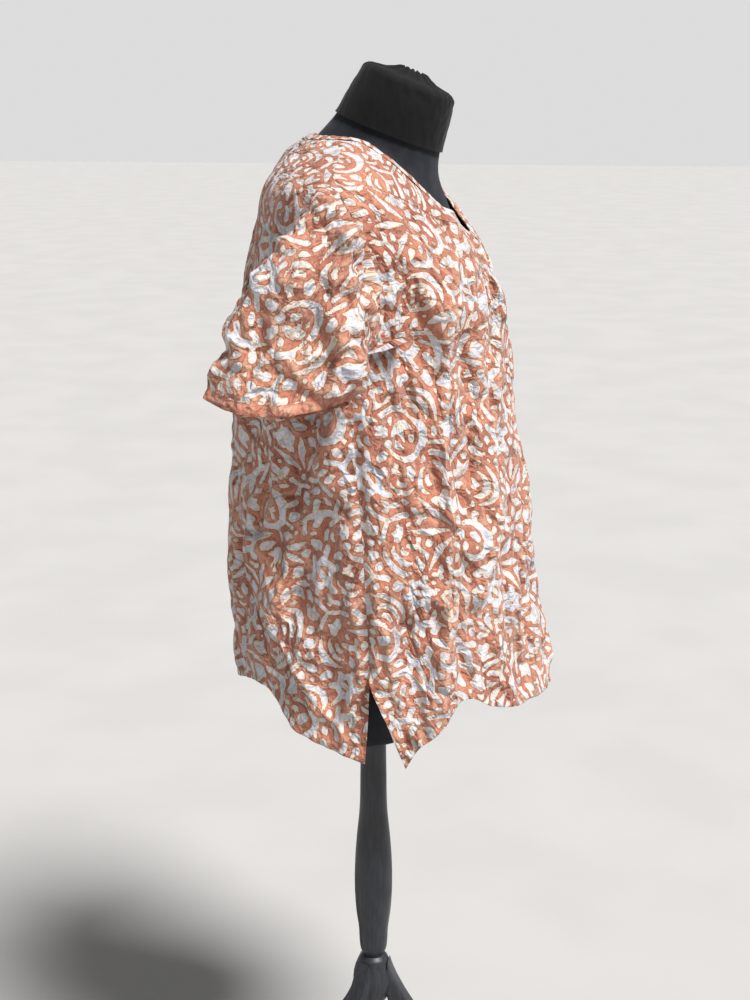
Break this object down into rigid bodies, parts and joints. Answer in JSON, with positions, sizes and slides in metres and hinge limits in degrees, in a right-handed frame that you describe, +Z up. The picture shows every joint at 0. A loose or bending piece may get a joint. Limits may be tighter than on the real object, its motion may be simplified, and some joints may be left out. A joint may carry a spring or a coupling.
{
  "type": "batik shirt on dress form",
  "caption": "Short-sleeved batik cotton shirt with side slits and a keyhole neck, worn on a limbless dress form with a turned column and a splayed-leg stand.",
  "frame": {"origin": "on the floor, under the middle of the whole object's box; the column's axis stands 46.4 mm behind it", "axes": "+Z up, -Y the wearer's front, -X the wearer's right side"},
  "size_m": [0.544, 0.4312, 1.3845],
  "materials": {
    "batik_cotton": "crumpled plain-weave cotton, terracotta ground with a white wax-resist print",
    "jersey": "matte black stretch jersey",
    "black_wood": "satin black painted wood"
  },
  "bodies": {
    "root": {"shirt_front": "batik_cotton", "shirt_back": "batik_cotton", "sleeve_right": "batik_cotton", "sleeve_left": "batik_cotton", "neck_binding": "batik_cotton", "form_body": "jersey", "form_neck_cuff": "jersey", "stand_column": "black_wood", "stand_hub": "black_wood", "stand_leg_front": "black_wood", "stand_leg_left": "black_wood", "stand_leg_right": "black_wood"}
  },
  "joints": []
}
